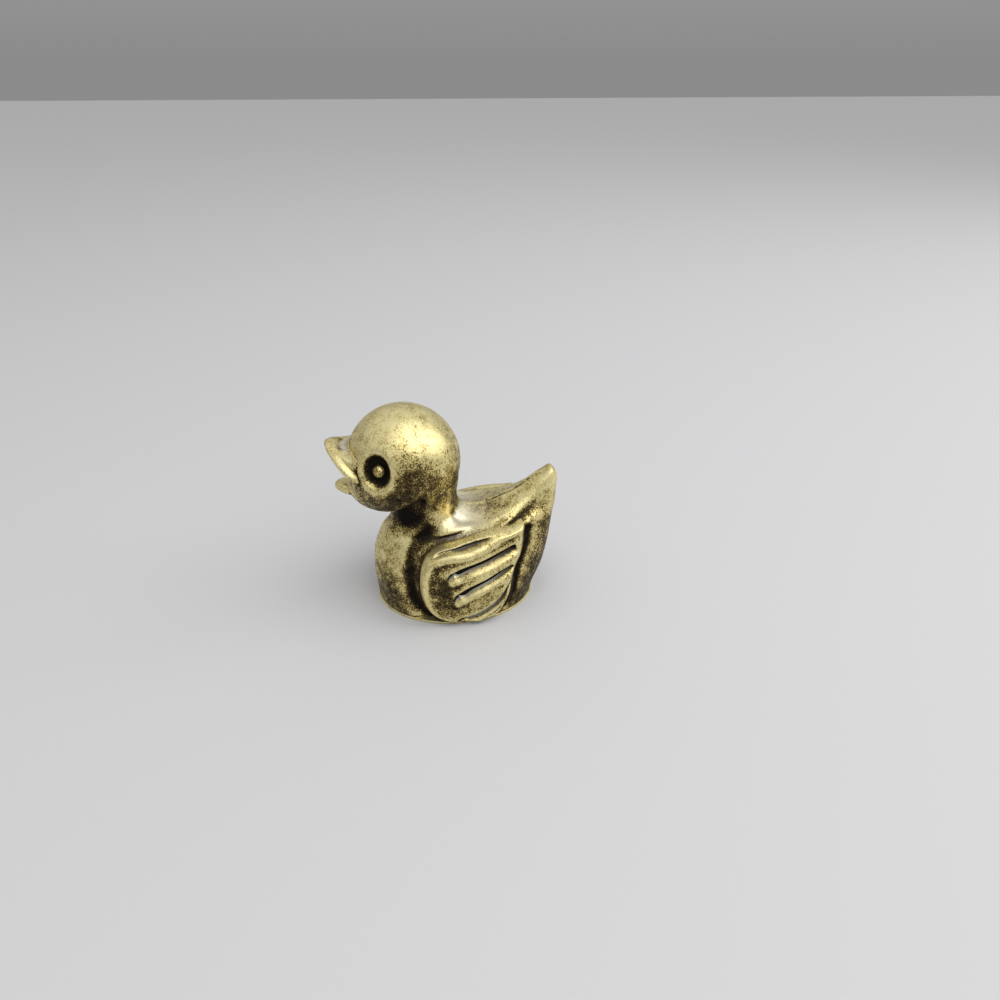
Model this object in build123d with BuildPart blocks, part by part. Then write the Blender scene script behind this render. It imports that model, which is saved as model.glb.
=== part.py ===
"""Brass duck, a small ornament: a duckling sitting on an oval foot, bill open and tail up.

Millimetres. The bill points to -Y, the duck's left side is +X, and it stands on z = 0
with the origin at the middle of its foot. The left and right sides are alike.
"""
from build123d import *
from math import cos, radians, sin, sqrt
import os

os.makedirs("parts", exist_ok=True)

# Foot plate: the oval that closes the body below
foot_length = 22.8
foot_width = 18.3
foot_thickness = 0.45
foot_lip = 0.1
foot_step_height = 0.45

# Body casting: breast, flanks, back and tail in one hollow shell
back_height = 13.5
tail_height = 19.75
body_wall = 1.8
crest_rise = 0.45

# Undercut below the head's cheeks, which is also its slanted seat on the neck: its distance
# from the head's middle, its slope, and how far behind the middle it reaches
cheek_distance = 3.4
cheek_slope = 53
cheek_reach = 3.0

# Spigot of the neck, square to the seat, that the head sits over, with the bore that empties
# the body casting
spigot_radius = 2.4
spigot_bore = 1.5
spigot_rise = 2.6
spigot_down_seat = 2.05
spigot_bore_length = 11.5

# Head: a hollow ball with a fuller jaw in front
head_radius = 7.7
head_wall = 2.0
head_forward = 6.4
head_above_back = 0.6
jaw_radius = 3.9
jaw_proud = 0.95
jaw_droop = 35

# Mouth: the hollow between the two halves of the bill
mouth_width = 6.4
mouth_depth = 0.9
mouth_lip = 0.35

# Eyes: a domed pin in a flared socket on each side
eye_azimuth = 61
eye_elevation = 10.5
socket_radius = 2.3
socket_floor_radius = 1.65
socket_depth = 1.0
eye_radius = 0.9
eye_height = 0.7
eye_shank_radius = 0.45

# Upper bill: a thick, upturned visor
upper_bill_length = 4.3
upper_bill_width = 11.0
upper_bill_thickness = 1.4
upper_bill_rise = 40
upper_bill_above_centre = 0.45
upper_bill_seat_depth = 0.6

# Lower bill: a short round tongue, its root sunk in the jaw
lower_bill_length = 2.0
lower_bill_root_depth = 1.15
lower_bill_width = 3.6
lower_bill_thickness = 1.8
lower_bill_rise = 12
lower_bill_below_jaw = 1.0

# Wings: a raised leaf on each flank, with grooves between its feathers
wing_length = 14.2
wing_height = 13.4
wing_forward = 5.0
wing_thickness = 0.95
feather_groove_width = 0.9
feather_groove_depth = 0.65

# Flutes in the flanks, in front of and behind each wing
breast_flute_radius = 1.7
breast_flute_depth = 1.0
rear_flute_radius = 1.2
rear_flute_depth = 0.5

# Fits and cuts
fit_clearance = 0.05
overrun = 1.0

# Worked out from the sizes above
foot_half_length = foot_length / 2
foot_half_width = foot_width / 2
head_z = back_height + head_above_back + head_radius
head_inner_radius = head_radius - head_wall
jaw_distance = head_radius + jaw_proud - jaw_radius
jaw_y = -head_forward - jaw_distance * cos(radians(jaw_droop))
jaw_z = head_z - jaw_distance * sin(radians(jaw_droop))
seat_down = sin(radians(cheek_slope))
seat_back = cos(radians(cheek_slope))
seat_y = -head_forward + cheek_distance * seat_back - spigot_down_seat * seat_down
seat_z = head_z - cheek_distance * seat_down - spigot_down_seat * seat_back
side_reach = 2 * foot_width

# Side walls, from the foot to the back: height as a share of the back's height, then the
# oval's middle and half length as shares of the foot's half length, and its half width
# as a share of the foot's half width
flank_shares = [
    (0, 0, 1.0, 1.0),
    (0.13, 0.013, 1.02, 1.02),
    (0.40, 0.065, 1.09, 1.02),
    (0.67, 0.13, 1.10, 0.91),
    (0.87, 0.21, 1.06, 0.745),
    (1.0, 0.32, 0.98, 0.615),
]
# The same above the back: height as a share of the rise from the back to the tail's top
tail_shares = [
    (0.18, 0.50, 0.86, 0.437),
    (0.43, 0.78, 0.59, 0.30),
    (0.80, 1.02, 0.335, 0.205),
    (1.0, 1.12, 0.22, 0.165),
]
# Line of the back, from the neck to the tail's tip: place behind the foot's middle as a
# share of the foot's half length, height as a share of the rise above
back_line_shares = [
    (-0.457, 0.18),
    (-0.065, 0.10),
    (0.104, 0.025),
    (0.34, 0.037),
    (0.60, 0.20),
    (0.855, 0.446),
    (1.097, 0.832),
]
tail_tip_shares = [(1.22, 0.992), (1.312, 0.74)]
# Line under the tail, from the tip down to the foot: height as a share of the back's height
tail_under_shares = [(1.298, 1.217), (1.262, 0.911), (1.176, 0.461), (1.045, 0.133), (1.0, 0)]

# Half width of the crest along the back as a share of the back's half width
crest_width_share = 0.7
# How much of the crest's rise there is at each point of the back, from the second to the last
# but one
crest_fade_shares = (0.8, 1, 1, 0.9, 0.15)
# Ovals of the neck, from inside the body up into the head: height as a share of the rise from
# the back to the head's middle, then as for the side walls
neck_shares = [
    (-0.12, -0.316, 0.49, 0.55),
    (0.06, -0.338, 0.434, 0.448),
    (0.30, -0.364, 0.40, 0.415),
    (0.80, -0.364, 0.40, 0.415),
]

# Wing outline in the side view: shares of its length from the front edge and of its
# height from the foot
wing_outline_shares = [
    (1.015, 0.997),
    (0.90, 0.977),
    (0.664, 0.955),
    (0.367, 0.882),
    (0.14, 0.808),
    (0.035, 0.69),
    (-0.008, 0.49),
    (0.01, 0.29),
    (0.10, 0.095),
    (0.24, 0.02),
    (0.42, 0.004),
    (0.60, 0.004),
    (0.75, 0.05),
    (0.84, 0.19),
    (0.88, 0.38),
    (0.915, 0.56),
    (0.985, 0.70),
    (1.02, 0.86),
]
# Grooves between feathers, from the top: front end, middle and back end, in the same shares
feather_groove_shares = [
    ((0.32, 0.585), (0.60, 0.683), (0.90, 0.79)),
    ((0.38, 0.36), (0.62, 0.488), (0.87, 0.595)),
    ((0.42, 0.062), (0.656, 0.155), (0.81, 0.30)),
]
# Flutes in front of the wing, from the foot to the throat, and behind it: shares of the wing's
# length from its front edge, and of the side walls' height
breast_flute_shares = [
    (0.05, 0.01),
    (-0.05, 0.145),
    (-0.09, 0.36),
    (-0.085, 0.615),
    (-0.045, 0.82),
    (0, 0.985),
]
rear_flute_shares = [
    (0.87, 0.02),
    (0.92, 0.205),
    (0.945, 0.41),
    (0.975, 0.565),
    (1.05, 0.72),
    (1.08, 0.885),
]
# Side edge of the upper bill, from its root inside the head to its tip: shares of its half
# width and length
bill_edge_shares = [
    (0.6, -0.70),
    (0.96, -0.44),
    (1.0, -0.20),
    (0.97, 0.05),
    (0.86, 0.28),
    (0.69, 0.52),
    (0.47, 0.74),
    (0.24, 0.92),
    (0, 1.0),
]


def wall_height(share, above_back):
    """Height of one oval of the side walls."""
    if above_back:
        return back_height + share * (tail_height - back_height)
    return foot_thickness + share * (back_height - foot_thickness)


def wall_ovals():
    """Ovals of the side walls as height, middle, half length and half width."""
    tables = [(row, False) for row in flank_shares] + [(row, True) for row in tail_shares]
    for (height, middle, length, width), above_back in tables:
        yield (
            wall_height(height, above_back),
            middle * foot_half_length,
            length * foot_half_length,
            width * foot_half_width,
        )


def walls(growth, oval_count):
    """Solid inside the first ovals, each grown outwards; a negative growth makes it smaller."""
    with BuildPart() as solid:
        for height, middle, length, width in list(wall_ovals())[:oval_count]:
            with BuildSketch(Plane.XY.offset(height)):
                with Locations((0, middle)):
                    Ellipse(width + growth, length + growth)
        loft()
    return solid.part


def back_point(shares):
    """Place on the line of the back or the tail's tip."""
    behind, rise = shares
    return (behind * foot_half_length, back_height + rise * (tail_height - back_height))


def tail_under_point(shares):
    """Place on the line under the tail."""
    behind, height = shares
    return (behind * foot_half_length, height * back_height)


def side_profile():
    """Solid with the duck's outline from the side, without neck and head."""
    back = [back_point(shares) for shares in back_line_shares]
    tip = [back_point(shares) for shares in tail_tip_shares]
    under = [tail_under_point(shares) for shares in tail_under_shares]
    front = -foot_length
    with BuildPart() as solid:
        with BuildSketch(Plane.YZ):
            with BuildLine():
                Spline(*back)
                ThreePointArc(back[-1], tip[0], tip[1])
                Spline(tip[1], *under)
                Polyline(under[-1], (under[-1][0], -overrun), (front, -overrun))
                Polyline((front, -overrun), (front, back[0][1]), back[0])
            make_face()
        extrude(amount=side_reach, both=True)
    return solid.part


def on_flank(x_shape, side_place, proud):
    """Place on one flank, given in the side view, and raised this far along its slope."""
    behind, up = side_place
    point, slope = x_shape.find_intersection_points(Axis((0, behind, up), (1, 0, 0)))[-1]
    return point + slope * proud


def wing_point(shares):
    """Place in the wing's side view."""
    along, up = shares
    return (along * wing_length - wing_forward, foot_thickness + up * wing_height)


def flute_point(shares):
    """Place of a flute in the side view."""
    along, up = shares
    return (along * wing_length - wing_forward, wall_height(up, False))


def flute(shares, radius, depth):
    """Round cutter along one flank, with ball ends."""
    centres = [on_flank(walls_whole, flute_point(place), radius - depth) for place in shares]
    with BuildPart() as cutter:
        with BuildLine() as path:
            Spline(*centres)
        with BuildSketch(Plane(origin=path.line @ 0, z_dir=path.line % 0)):
            Circle(radius)
        sweep()
        with Locations(centres[0], centres[-1]):
            Sphere(radius)
    return cutter.part


def crest():
    """Low ridge along the middle of the back."""
    with BuildPart() as solid:
        for shares, fade in zip(back_line_shares[1:], crest_fade_shares):
            behind, up = back_point(shares)
            half = crest_width_share * on_flank(walls_whole, (behind, up), 0).X
            with BuildSketch(Plane.XZ.offset(-behind)):
                with BuildLine():
                    Polyline((0, up + crest_rise * fade), (half, up), (0, back_height - crest_rise))
                    mirror(about=Plane.YZ)
                make_face()
        loft(ruled=True)
    return solid.part


def seat_plane(above):
    """Plane of the head's seat at the spigot, facing into the head, moved this far into it."""
    plane = Plane((0, seat_y, seat_z), x_dir=(1, 0, 0), z_dir=(0, -seat_back, seat_down))
    return plane.offset(above)


def past_seat(above, reach):
    """Everything on one side of the plane of the head's seat: the body's side if the reach is
    negative."""
    with BuildPart() as solid:
        with BuildSketch(seat_plane(above)):
            Rectangle(side_reach, side_reach)
        extrude(amount=reach)
    return solid.part


def head_form():
    """Outside of the head as a full solid."""
    with BuildPart() as undercut:
        add(past_seat(0, -side_reach))
        with Locations((0, -head_forward + cheek_reach, head_z)):
            behind = (Align.CENTER, Align.MIN, Align.CENTER)
            Box(side_reach, side_reach, side_reach, align=behind, mode=Mode.SUBTRACT)
    with BuildPart() as solid:
        with Locations((0, -head_forward, head_z)):
            Sphere(head_radius)
        with Locations((0, jaw_y, jaw_z)):
            Sphere(jaw_radius)
        add(undercut.part, mode=Mode.SUBTRACT)
    return solid.part


def head_hollow():
    """Hollow inside the head, above the wall that rests on the seat."""
    with BuildPart() as solid:
        with Locations((0, -head_forward, head_z)):
            Sphere(head_inner_radius)
        add(past_seat(head_wall, side_reach), mode=Mode.INTERSECT)
    return solid.part


def neck_form():
    """Neck from inside the body up into the head."""
    with BuildPart() as solid:
        for share, middle, length, width in neck_shares:
            with BuildSketch(Plane.XY.offset(back_height + share * (head_z - back_height))):
                with Locations((0, middle * foot_half_length)):
                    Ellipse(width * foot_half_width, length * foot_half_length)
        loft()
    return solid.part


def eye_plane(side, distance):
    """Plane square to the eye's axis, this far from the head's middle."""
    level = cos(radians(eye_elevation))
    axis = Vector(
        side * level * sin(radians(eye_azimuth)),
        -level * cos(radians(eye_azimuth)),
        sin(radians(eye_elevation)),
    )
    return Plane(Vector(0, -head_forward, head_z) + axis * distance, z_dir=axis)


# Seats of the two halves of the bill on the head
bill_slope = radians(upper_bill_rise)
bill_ahead = sqrt(head_radius ** 2 - upper_bill_above_centre ** 2) - upper_bill_seat_depth
bill_seat = (0, -head_forward - bill_ahead, head_z + upper_bill_above_centre)
bill_plane = Plane(bill_seat, x_dir=(1, 0, 0), z_dir=(0, sin(bill_slope), cos(bill_slope)))
tongue_slope = radians(lower_bill_rise)
tongue_ahead = sqrt(jaw_radius ** 2 - lower_bill_below_jaw ** 2)
tongue_seat = (0, jaw_y - tongue_ahead, jaw_z - lower_bill_below_jaw)
tongue_plane = Plane(tongue_seat, x_dir=(1, 0, 0), z_dir=(0, sin(tongue_slope), cos(tongue_slope)))

walls_whole = walls(0, None)
walls_grown = walls(wing_thickness, None)
walls_groove_floor = walls(wing_thickness - feather_groove_depth, None)
cavity = walls(-body_wall, len(flank_shares) - 1)
head_outside = head_form()
socket_rim_distance = sqrt(head_radius ** 2 - socket_radius ** 2)
socket_floor_distance = socket_rim_distance - socket_depth

# Body
with BuildPart() as body:
    add(walls_whole)
    add(side_profile(), mode=Mode.INTERSECT)
    add(crest())
    add(neck_form())
    add(head_outside, mode=Mode.SUBTRACT)
    for cutter in (
        flute(breast_flute_shares, breast_flute_radius, breast_flute_depth),
        flute(rear_flute_shares, rear_flute_radius, rear_flute_depth),
    ):
        add(cutter, mode=Mode.SUBTRACT)
        add(mirror(cutter, about=Plane.YZ), mode=Mode.SUBTRACT)
body_outside = body.part

with BuildPart() as body:
    add(body_outside)
    with BuildSketch(seat_plane(0)):
        Circle(spigot_radius)
    extrude(amount=spigot_rise)
    add(cavity, mode=Mode.SUBTRACT)
    with BuildSketch(seat_plane(spigot_rise)):
        Circle(spigot_bore)
    extrude(amount=-spigot_bore_length, mode=Mode.SUBTRACT)
body.part.label = "body"
export_step(body.part, "parts/body.step")

# Foot plate
with BuildPart() as foot_plate:
    with BuildSketch():
        Ellipse(foot_half_width + foot_lip, foot_half_length + foot_lip)
    extrude(amount=foot_thickness)
    step_inset = body_wall + fit_clearance
    with BuildSketch(Plane.XY.offset(foot_thickness)):
        Ellipse(foot_half_width - step_inset, foot_half_length - step_inset)
    extrude(amount=foot_step_height)
foot_plate.part.label = "foot_plate"
export_step(foot_plate.part, "parts/foot_plate.step")

# Head
with BuildPart() as head:
    add(head_outside)
    add(head_hollow(), mode=Mode.SUBTRACT)
    with BuildSketch(seat_plane(0)):
        Circle(spigot_radius + fit_clearance)
    extrude(amount=head_wall, mode=Mode.SUBTRACT)
    for side in (1, -1):
        with BuildSketch(eye_plane(side, socket_floor_distance)):
            Circle(socket_floor_radius)
        with BuildSketch(eye_plane(side, socket_rim_distance)):
            Circle(socket_radius)
        loft(mode=Mode.SUBTRACT)
        with BuildSketch(eye_plane(side, socket_rim_distance)):
            Circle(socket_radius)
        extrude(amount=overrun, mode=Mode.SUBTRACT)
        with BuildSketch(eye_plane(side, socket_floor_distance)):
            Circle(eye_shank_radius + fit_clearance)
        extrude(amount=-head_wall, mode=Mode.SUBTRACT)
    mouth_bottom = tongue_seat[2] + lower_bill_thickness / 2 + mouth_lip
    mouth_top = bill_seat[2] - upper_bill_thickness / 2 - mouth_lip
    with BuildSketch(Plane.XY.offset(mouth_bottom)):
        with Locations((0, bill_seat[1])):
            Ellipse(mouth_width / 2, mouth_depth)
    extrude(amount=mouth_top - mouth_bottom, mode=Mode.SUBTRACT)
head.part.label = "head"
export_step(head.part, "parts/head.step")

# Eyes
shank_length = socket_floor_distance - head_inner_radius
for side, name in ((1, "eye_left"), (-1, "eye_right")):
    dome_radius = (eye_radius ** 2 + eye_height ** 2) / (2 * eye_height)
    with BuildPart() as eye:
        with BuildSketch(Plane.XZ):
            with BuildLine():
                Polyline((0, eye_height), (0, -shank_length), (eye_shank_radius, -shank_length))
                Polyline((eye_shank_radius, -shank_length), (eye_shank_radius, 0), (eye_radius, 0))
                RadiusArc((eye_radius, 0), (0, eye_height), -dome_radius)
            make_face()
        revolve(axis=Axis.Z)
    placed = eye_plane(side, socket_floor_distance).location * eye.part
    placed.label = name
    export_step(placed, f"parts/{name}.step")

# Upper bill
with BuildPart() as upper_bill:
    half_width = upper_bill_width / 2
    edge = [(across * half_width, -along * upper_bill_length) for across, along in bill_edge_shares]
    with BuildSketch(bill_plane.offset(-upper_bill_thickness / 2)):
        with BuildLine():
            Line((0, edge[0][1]), edge[0])
            Spline(*edge)
            mirror(about=Plane.YZ)
        make_face()
    extrude(amount=upper_bill_thickness)
    add(head_outside, mode=Mode.SUBTRACT)
upper_bill.part.label = "upper_bill"
export_step(upper_bill.part, "parts/upper_bill.step")

# Lower bill
with BuildPart() as lower_bill:
    with BuildSketch(tongue_plane.offset(-lower_bill_thickness / 2)):
        with Locations((0, lower_bill_root_depth)):
            Ellipse(lower_bill_width / 2, lower_bill_length + lower_bill_root_depth)
    extrude(amount=lower_bill_thickness)
    add(head_outside, mode=Mode.SUBTRACT)
lower_bill.part.label = "lower_bill"
export_step(lower_bill.part, "parts/lower_bill.step")

# Wings
with BuildPart() as feather_grooves:
    for shares in feather_groove_shares:
        with BuildLine() as middle:
            ThreePointArc(*[wing_point(place) for place in shares])
        with BuildSketch(Plane.YZ):
            SlotArc(middle.edges()[0], feather_groove_width)
        extrude(amount=side_reach)
    add(walls_groove_floor, mode=Mode.SUBTRACT)

with BuildPart() as wing:
    with BuildSketch(Plane.YZ):
        with BuildLine():
            Spline(*[wing_point(shares) for shares in wing_outline_shares], periodic=True)
        make_face()
    extrude(amount=side_reach)
    add(walls_grown, mode=Mode.INTERSECT)
    add(body_outside, mode=Mode.SUBTRACT)
    add(feather_grooves.part, mode=Mode.SUBTRACT)
wing_left = wing.part
wing_left.label = "wing_left"
export_step(wing_left, "parts/wing_left.step")

wing_right = mirror(wing_left, about=Plane.YZ)
wing_right.label = "wing_right"
export_step(wing_right, "parts/wing_right.step")
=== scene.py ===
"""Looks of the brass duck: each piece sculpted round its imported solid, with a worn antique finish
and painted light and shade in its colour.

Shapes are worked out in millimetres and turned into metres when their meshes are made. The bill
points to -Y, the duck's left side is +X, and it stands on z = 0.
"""
from math import cos, pi, radians, sin, sqrt

import bpy
import numpy as np
from mathutils import Matrix, Vector


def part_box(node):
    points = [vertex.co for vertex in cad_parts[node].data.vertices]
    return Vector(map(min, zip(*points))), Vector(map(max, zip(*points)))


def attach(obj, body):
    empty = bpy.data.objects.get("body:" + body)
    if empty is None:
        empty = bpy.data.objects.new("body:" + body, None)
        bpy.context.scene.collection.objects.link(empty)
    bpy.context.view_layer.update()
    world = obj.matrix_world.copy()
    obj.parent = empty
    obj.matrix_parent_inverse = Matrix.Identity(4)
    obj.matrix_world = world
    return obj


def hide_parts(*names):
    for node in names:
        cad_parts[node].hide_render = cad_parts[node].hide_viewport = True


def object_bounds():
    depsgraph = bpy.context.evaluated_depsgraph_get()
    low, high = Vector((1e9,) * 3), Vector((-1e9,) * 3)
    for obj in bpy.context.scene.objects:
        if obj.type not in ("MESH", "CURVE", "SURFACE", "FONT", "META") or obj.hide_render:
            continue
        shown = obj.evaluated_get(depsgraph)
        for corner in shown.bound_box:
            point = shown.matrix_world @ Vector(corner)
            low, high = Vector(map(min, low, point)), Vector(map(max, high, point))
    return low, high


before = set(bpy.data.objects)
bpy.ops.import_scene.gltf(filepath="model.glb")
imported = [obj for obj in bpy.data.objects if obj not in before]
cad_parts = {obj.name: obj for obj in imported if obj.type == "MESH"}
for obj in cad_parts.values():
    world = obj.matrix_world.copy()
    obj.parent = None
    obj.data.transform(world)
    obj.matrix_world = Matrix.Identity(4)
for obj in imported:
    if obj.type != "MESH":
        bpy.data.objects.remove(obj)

MM = 0.001
cad_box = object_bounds()


def node_box(name):
    """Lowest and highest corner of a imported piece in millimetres."""
    low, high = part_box(name)
    return np.array(low) / MM, np.array(high) / MM


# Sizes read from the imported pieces; the foot plate's lip stands past the body all round
_, foot_high = node_box("foot_plate")
body_low, _ = node_box("body")
_, head_high = node_box("head")
foot_lip = 0.1
foot_half_width = foot_high[0] - foot_lip
foot_half_length = foot_high[1] - foot_lip
foot_thickness = body_low[2]
head_radius = head_high[0]
head_middle = np.array([0, head_high[1] - head_radius, head_high[2] - head_radius])

# Values with a name that ends in fade are two places, or two shares: an effect rises from nothing
# at the first to its full strength at the second

# Foot plate
foot_bluntness = 8.0

# Body
back_height = 13.5
tail_height = 19.75
ridge_softness = 0.8
tail_ridge_softness = 1.2
flute_depth = 0.32
flute_below = 1.7
flute_reach = 0.6
flute_front_fade = (-2, 2)
flute_rear_fade = (12.5, 9.5)
crest_rise = 0.55
crest_share = 0.42
hollow_depth = 0.28
hollow_share = 0.72
hollow_width_share = 0.17
seam_rise = 0.08
seam_half_width = 0.2
crown_fade = (-2.5, -1.0)
crown_tail_fade = (0, 4)
least_width_share = 0.02
outline_front_share = 3
hollow_side_fade = (1.5, 3.5)

# Neck: an oval column, with a core inside the head
neck_half_width = 3.5
neck_half_length = 4.2
neck_forward = 4.45
neck_fillet_front = 1.0
neck_fillet_back = 3.2
nape_fillet = 2.8
nape_fade_height = 1.4
neck_below_middle = 1.6
neck_top = head_middle[2] - neck_below_middle
core_inset = 0.15
core_past_neck = 2
throat_fillet = 0.4
nape_middle = (0, -2.5, 15.6)
nape_half_sizes = (4.5, 2.2, 3.2)
nape_join = 1.5

# Undercut below the cheeks: its distance from the head's middle, how steeply it faces down and
# back, and how far behind the middle it reaches
cheek_distance = 3.4
cheek_slope = radians(53)
cheek_reach = 2.8
cheek_softness = 1.1

# Head
jaw_radius = 3.9
jaw_proud = 0.95
jaw_droop = radians(35)
chin_height = 0.45
chin_softness = 2.0
jaw_fillet = 2.2
jaw_distance = head_radius + jaw_proud - jaw_radius
jaw_middle = head_middle - jaw_distance * np.array([0, cos(jaw_droop), sin(jaw_droop)])

# Eyes
eye_azimuth = radians(61)
eye_elevation = radians(10.5)
socket_radius = 2.15
socket_tallness = 1.18
socket_floor_radius = 1.6
socket_depth = 1.15
socket_softness = 0.75
socket_rim_rise = 0.02
socket_rim_radius = 2.85
socket_rim_width = 0.35
eye_radius = 0.9
eye_height = 0.95
eye_bluntness = 2.0
socket_mouth_distance = sqrt(head_radius ** 2 - socket_radius ** 2)
socket_floor_distance = socket_mouth_distance - socket_depth

# Mouth
mouth_half_width = 3.2
mouth_depth = 1.5
mouth_softness = 0.5

# Upper bill
upper_bill_length = 4.3
upper_bill_half_width = 5.5
upper_bill_rise = radians(40)
upper_bill_above_centre = 0.45
upper_bill_seat_depth = 0.6
upper_bill_top = 0.75
upper_bill_under = 0.65
upper_bill_dish = 0.2
upper_bill_rim = 1.1
upper_bill_softness = 1.3
upper_bill_fillet = 2.2
upper_bill_root = 1.5
upper_bill_root_inset = 0.7
nostril_across = 2.0
nostril_along = 0.6
nostril_radius = 0.36
nostril_depth = 0.3

# Lower bill
lower_bill_length = 2.0
lower_bill_root_depth = 1.15
lower_bill_half_width = 1.8
lower_bill_half_thickness = 0.92
lower_bill_bluntness = 2.8
lower_bill_rise = radians(12)
lower_bill_below_jaw = 1.0
lower_bill_dish = 0.18
lower_bill_dish_share = 0.5

# Wings
wing_length = 14.2
wing_height = 13.4
wing_forward = 5.0
wing_edge_thickness = 0.35
wing_plate_thickness = 0.85
wing_edge_width = 0.5
wing_ridge_rise = 0.55
wing_ridge_reach = 0.8
wing_ridge_fade = (0, 0.2)
wing_lip_rise = 0.24
wing_lip_inset = 0.22
wing_lip_reach = 0.2
wing_channel_depth = 0.65
wing_channel_inset = 0.78
wing_channel_reach = 0.38
beside_ridge_fade = (0.35, 0.75)
wing_lip_fade = (0, 0.3)
palm_depth = 0.5
palm_reach = 2.8
palm_tallness = 1.25
palm_share = (0.25, 0.37)
wing_softness = 0.3
wing_root = 0.8
wing_from_middle = 1
feather_edge_width = 0.7
feather_rise = 0.3
feather_reach = 0.5
feather_drop_share = 0.082
feather_lowering = 0.5
feather_full_depth = 0.9
groove_narrowing = 0.55
groove_narrowing_fade = (0.5, 1.0)
groove_start_share = 0.4
groove_start_fade = (0, 0.12)
groove_end_fade = (1, 0.95)
groove_wide_share = 0.2
groove_widening = 1.2

# Hollows of the body round each wing: depth, distance outside the wing's edge, half width; then
# where along and up the body each takes over
breast_hollow = (1.0, 1.2, 1.15)
upper_hollow = (0.45, 0.35, 0.4)
rear_hollow = (0.5, 0.6, 0.6)
front_fade = (-1.5, -4.0)
rear_fade = (6.5, 8.5)
upper_rear_fade = (8.2, 6.2)
above_tip_fade = (12.3, 13.5)

# Side walls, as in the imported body: height as a share of its part of the wall, then the oval's
# middle and half length as shares of the foot's half length, its half width as a share of the
# foot's half width
flank_shares = [
    (0, 0, 1.0, 1.0),
    (0.13, 0.013, 1.02, 1.02),
    (0.40, 0.065, 1.09, 1.02),
    (0.67, 0.13, 1.10, 0.91),
    (0.87, 0.21, 1.06, 0.745),
    (1.0, 0.32, 0.98, 0.615),
]
tail_shares = [
    (0.18, 0.50, 0.86, 0.437),
    (0.43, 0.78, 0.59, 0.30),
    (0.80, 1.02, 0.335, 0.205),
    (1.0, 1.12, 0.22, 0.165),
]
# Line of the back and the tail's tip: place behind the foot's middle as a share of the foot's
# half length, height above the back as a share of the tail's rise
back_line_shares = [
    (-0.457, 0.18),
    (-0.065, 0.10),
    (0.104, 0.025),
    (0.34, 0.037),
    (0.60, 0.20),
    (0.855, 0.446),
    (1.097, 0.832),
    (1.22, 0.992),
    (1.312, 0.74),
]
# Line under the tail: height as a share of the back's height
tail_under_shares = [(1.298, 1.217), (1.262, 0.911), (1.176, 0.461), (1.045, 0.133), (1.0, 0)]
# Wing outline in the side view: shares of its length from the front and of its height
wing_outline_shares = [
    (1.015, 0.997),
    (0.90, 0.977),
    (0.664, 0.955),
    (0.367, 0.882),
    (0.14, 0.808),
    (0.035, 0.69),
    (-0.008, 0.49),
    (0.01, 0.29),
    (0.10, 0.095),
    (0.24, 0.015),
    (0.42, 0),
    (0.60, 0),
    (0.75, 0.045),
    (0.84, 0.19),
    (0.88, 0.38),
    (0.915, 0.56),
    (0.985, 0.70),
    (1.02, 0.86),
]
# The wing's ridge, from low on its front edge to its rear tip, in the same shares
wing_ridge_shares = [
    (0.14, 0.11),
    (0.06, 0.24),
    (0.026, 0.40),
    (0.035, 0.57),
    (0.094, 0.695),
    (0.222, 0.752),
    (0.494, 0.798),
    (0.695, 0.876),
    (0.899, 0.95),
    (1.005, 0.99),
]
# Grooves between feathers, from the top: depth, how far each reaches above and below its middle
# line, and that line from front to back in the same shares
feather_grooves = [
    (1.1, 0.24, 0.75, [(0.30, 0.58), (0.43, 0.64), (0.62, 0.70), (0.752, 0.745), (0.94, 0.803)]),
    (1.1, 0.24, 0.75, [(0.35, 0.345), (0.47, 0.43), (0.65, 0.51), (0.79, 0.572), (0.91, 0.615)]),
    (1.0, 0.24, 0.55, [(0.375, 0.055), (0.52, 0.093), (0.656, 0.162), (0.76, 0.246), (0.89, 0.445)]),
    (0.35, 0.18, 0.2, [(0.60, 0.035), (0.70, 0.082), (0.79, 0.165), (0.85, 0.265)]),
]
# Side edge of the upper bill, from its root to its tip: shares of its half width and length
bill_edge_shares = [
    (0.6, -0.70),
    (0.96, -0.44),
    (1.0, -0.20),
    (0.97, 0.05),
    (0.86, 0.28),
    (0.69, 0.52),
    (0.47, 0.74),
    (0.24, 0.92),
    (0, 1.0),
]

# Worn finish, with painted light and shade: how far round a point its bareness is judged, and
# what counts for how much; faces that turn up are painted lighter and places low down painted
# darker. Round a point of a flat surface, half of the room is metal.
flat_share = 0.5
near_reach = 0.4
round_reach = 1.3
rub_level = 0.4
near_weight = 2.8
round_weight = 1.5
painted_light_on_top_weight = 0.32
painted_shade_low_down_weight = 0.16
low_height = 5.5
rub_limit = 0.78
eye_rub_limit = 0.52
# Painted highlights, whitish brass where a surface faces up into the light, by piece: their
# middle and reach, and an even strength, or None where only hollows get them. The next values
# are the hollowness that counts fully, near and round.
painted_highlight_places = {
    "body": ((3.2, 1.0, 14.7), 2.9, 0.9),
    "wing": ((8.5, 1.5, 5.0), 5.0, None),
    "upper_bill": ((0.8, -13.6, 24.0), 1.5, None),
}
pale_near = 0.12
pale_round = 0.16
painted_highlight_gain = 0.3
pale_up_fade = (0.3, 0.8)
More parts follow.
